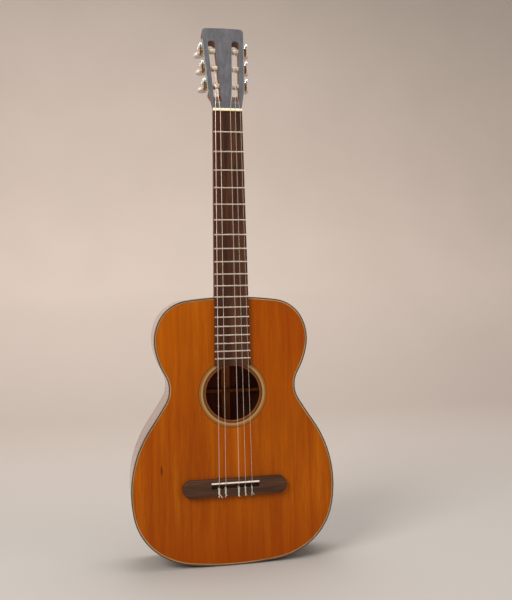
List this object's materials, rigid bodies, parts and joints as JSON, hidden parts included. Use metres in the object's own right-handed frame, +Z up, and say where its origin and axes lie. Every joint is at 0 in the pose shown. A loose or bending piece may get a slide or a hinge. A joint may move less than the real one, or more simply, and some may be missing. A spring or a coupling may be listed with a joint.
{
  "type": "classical guitar",
  "caption": "Classical guitar with a slotted head, geared tuning machines that turn, a fretted fingerboard, a hollow braced body and a tie bridge.",
  "frame": {"origin": "on the centreline at the lowest point of the body's tail, halfway through the rim's depth there", "axes": "+Z up the neck, -Y out of the soundboard, +X to the treble side, on the viewer's right"},
  "size_m": [0.3604, 0.1114, 0.9567],
  "materials": {
    "soundboard_wood": "gloss",
    "back_wood": "gloss",
    "side_wood": "gloss",
    "binding": "gloss",
    "rosette": "gloss",
    "neck_wood": "satin",
    "head_veneer": "gloss",
    "rosewood": "satin",
    "bone": "satin",
    "fret_wire": "polished",
    "wound_string": "satin",
    "nylon_string": "translucent gloss",
    "nickel_plate": "polished",
    "gear_brass": "satin",
    "button_pearl": "pearl gloss",
    "roller_cream": "gloss",
    "inner_wood": "raw"
  },
  "bodies": {
    "guitar": {"soundboard": "soundboard_wood", "back_plate": "back_wood", "side_bass": "side_wood", "side_treble": "side_wood", "top_binding": "binding", "back_binding": "binding", "rosette": "rosette", "neck": "neck_wood", "headstock_veneer": "head_veneer", "heel_cap": "binding", "fingerboard": "rosewood", "frets": "fret_wire", "nut": "bone", "bridge": "rosewood", "saddle": "bone", "string_6_low_e": "wound_string", "string_5_a": "wound_string", "string_3_g": "nylon_string", "string_2_b": "nylon_string", "string_1_high_e": "nylon_string", "tuner_plate_bass": "nickel_plate", "tuner_plate_treble": "nickel_plate", "tuner_plate_screws": "nickel_plate", "neck_block": "inner_wood", "tail_block": "inner_wood", "kerfed_linings": "inner_wood", "soundboard_braces": "inner_wood", "back_braces": "inner_wood", "bridge_plate": "inner_wood", "back_centre_strip": "inner_wood"},
    "tuner_worm_1": {"worm_1": "nickel_plate", "button_1": "button_pearl"},
    "tuner_roller_1": {"roller_1": "roller_cream", "gear_1": "gear_brass", "gear_screw_1": "nickel_plate"},
    "tuner_worm_2": {"worm_2": "nickel_plate", "button_2": "button_pearl"},
    "tuner_roller_2": {"roller_2": "roller_cream", "gear_2": "gear_brass", "gear_screw_2": "nickel_plate"},
    "tuner_worm_3": {"worm_3": "nickel_plate", "button_3": "button_pearl"},
    "tuner_roller_3": {"roller_3": "roller_cream", "gear_3": "gear_brass", "gear_screw_3": "nickel_plate"},
    "tuner_worm_4": {"worm_4": "nickel_plate", "button_4": "button_pearl"},
    "tuner_roller_4": {"roller_4": "roller_cream", "gear_4": "gear_brass", "gear_screw_4": "nickel_plate"},
    "tuner_worm_5": {"worm_5": "nickel_plate", "button_5": "button_pearl"},
    "tuner_roller_5": {"roller_5": "roller_cream", "gear_5": "gear_brass", "gear_screw_5": "nickel_plate"},
    "tuner_worm_6": {"worm_6": "nickel_plate", "button_6": "button_pearl"},
    "tuner_roller_6": {"roller_6": "roller_cream", "gear_6": "gear_brass", "gear_screw_6": "nickel_plate"}
  },
  "joints": [
    {"name": "worm_spin_1", "type": "hinge", "parent": "guitar", "child": "tuner_worm_1", "pos_m": [0.0377, -0.02857, 0.85322], "axis": [0, 0.9659, -0.2588], "continuous": true},
    {"name": "roller_spin_1", "type": "hinge", "parent": "guitar", "child": "tuner_roller_1", "pos_m": [0.03207, -0.03067, 0.84538], "axis": [0.9986, -0.0135, -0.0506], "continuous": true},
    {"name": "worm_spin_2", "type": "hinge", "parent": "guitar", "child": "tuner_worm_2", "pos_m": [0.03953, -0.01953, 0.88698], "axis": [0, 0.9659, -0.2588], "continuous": true},
    {"name": "roller_spin_2", "type": "hinge", "parent": "guitar", "child": "tuner_roller_2", "pos_m": [0.0339, -0.02163, 0.87914], "axis": [0.9986, -0.0135, -0.0506], "continuous": true},
    {"name": "worm_spin_3", "type": "hinge", "parent": "guitar", "child": "tuner_worm_3", "pos_m": [0.04136, -0.01048, 0.92074], "axis": [0, 0.9659, -0.2588], "continuous": true},
    {"name": "roller_spin_3", "type": "hinge", "parent": "guitar", "child": "tuner_roller_3", "pos_m": [0.03573, -0.01258, 0.9129], "axis": [0.9986, -0.0135, -0.0506], "continuous": true},
    {"name": "worm_spin_4", "type": "hinge", "parent": "guitar", "child": "tuner_worm_4", "pos_m": [-0.04136, -0.01048, 0.92074], "axis": [0, 0.9659, -0.2588], "continuous": true},
    {"name": "roller_spin_4", "type": "hinge", "parent": "guitar", "child": "tuner_roller_4", "pos_m": [-0.03573, -0.01258, 0.9129], "axis": [-0.9986, -0.0135, -0.0506], "continuous": true},
    {"name": "worm_spin_5", "type": "hinge", "parent": "guitar", "child": "tuner_worm_5", "pos_m": [-0.03953, -0.01953, 0.88698], "axis": [0, 0.9659, -0.2588], "continuous": true},
    {"name": "roller_spin_5", "type": "hinge", "parent": "guitar", "child": "tuner_roller_5", "pos_m": [-0.0339, -0.02163, 0.87914], "axis": [-0.9986, -0.0135, -0.0506], "continuous": true},
    {"name": "worm_spin_6", "type": "hinge", "parent": "guitar", "child": "tuner_worm_6", "pos_m": [-0.0377, -0.02857, 0.85322], "axis": [0, 0.9659, -0.2588], "continuous": true},
    {"name": "roller_spin_6", "type": "hinge", "parent": "guitar", "child": "tuner_roller_6", "pos_m": [-0.03207, -0.03067, 0.84538], "axis": [-0.9986, -0.0135, -0.0506], "continuous": true}
  ],
  "couplings": [
    {"joint": "roller_spin_1", "follows": "worm_spin_1", "ratio": 0.071429},
    {"joint": "roller_spin_2", "follows": "worm_spin_2", "ratio": 0.071429},
    {"joint": "roller_spin_3", "follows": "worm_spin_3", "ratio": 0.071429},
    {"joint": "roller_spin_4", "follows": "worm_spin_4", "ratio": 0.071429},
    {"joint": "roller_spin_5", "follows": "worm_spin_5", "ratio": 0.071429},
    {"joint": "roller_spin_6", "follows": "worm_spin_6", "ratio": 0.071429}
  ]
}
